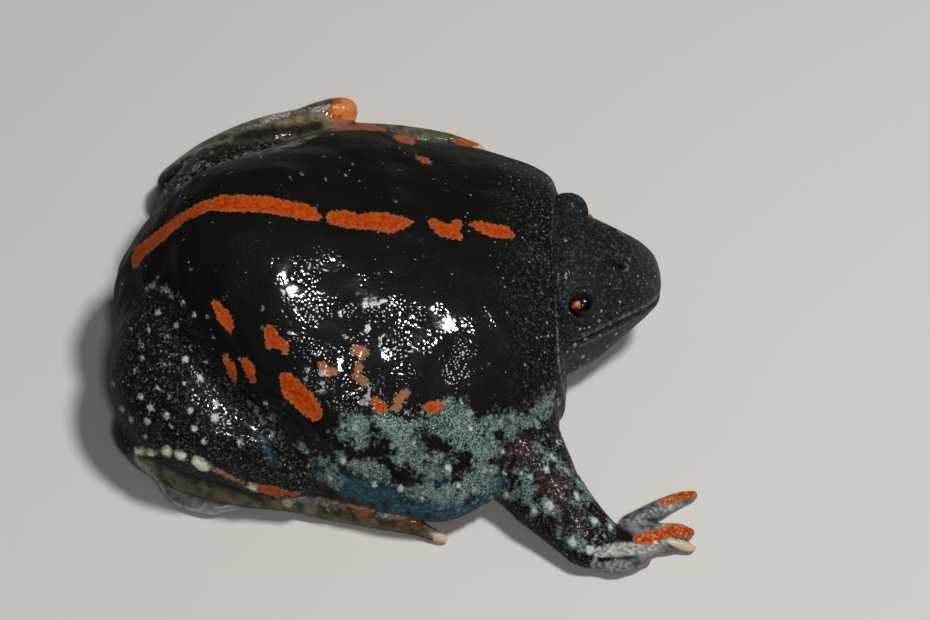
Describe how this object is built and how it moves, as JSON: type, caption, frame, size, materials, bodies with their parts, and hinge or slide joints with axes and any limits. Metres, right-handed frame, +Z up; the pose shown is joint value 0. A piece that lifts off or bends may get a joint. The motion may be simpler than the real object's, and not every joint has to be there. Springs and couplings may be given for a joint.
{
  "type": "mexican burrowing toad",
  "caption": "Life-size still model of a squat, round-bodied burrowing toad resting on its belly, with a small pointed head, a broken orange back stripe and folded webbed hind feet.",
  "frame": {"origin": "on the ground, at the middle of the flat of the belly", "axes": "+X forward out of the snout, +Y to the toad's left, +Z up"},
  "size_m": [0.0766, 0.0867, 0.031],
  "materials": {
    "skin_black": "wet, finely grained black skin with orange markings",
    "skin_grey": "wet, smooth dark grey skin",
    "leg_skin": "wet, wrinkled black skin with pale spots",
    "foot_skin": "wet, thin orange and grey skin",
    "eye": "glossy, wet",
    "spade_horn": "smooth, worn horn"
  },
  "bodies": {
    "root": {"torso": "skin_black", "head": "skin_grey", "lower_jaw": "skin_grey", "eye_right": "eye", "eye_left": "eye", "front_leg_right": "leg_skin", "front_leg_left": "leg_skin", "hand_right": "foot_skin", "hand_left": "foot_skin", "thigh_right": "leg_skin", "thigh_left": "leg_skin", "shank_right": "leg_skin", "shank_left": "leg_skin", "foot_right": "foot_skin", "foot_left": "foot_skin", "spade_right": "spade_horn", "spade_left": "spade_horn"}
  },
  "joints": []
}
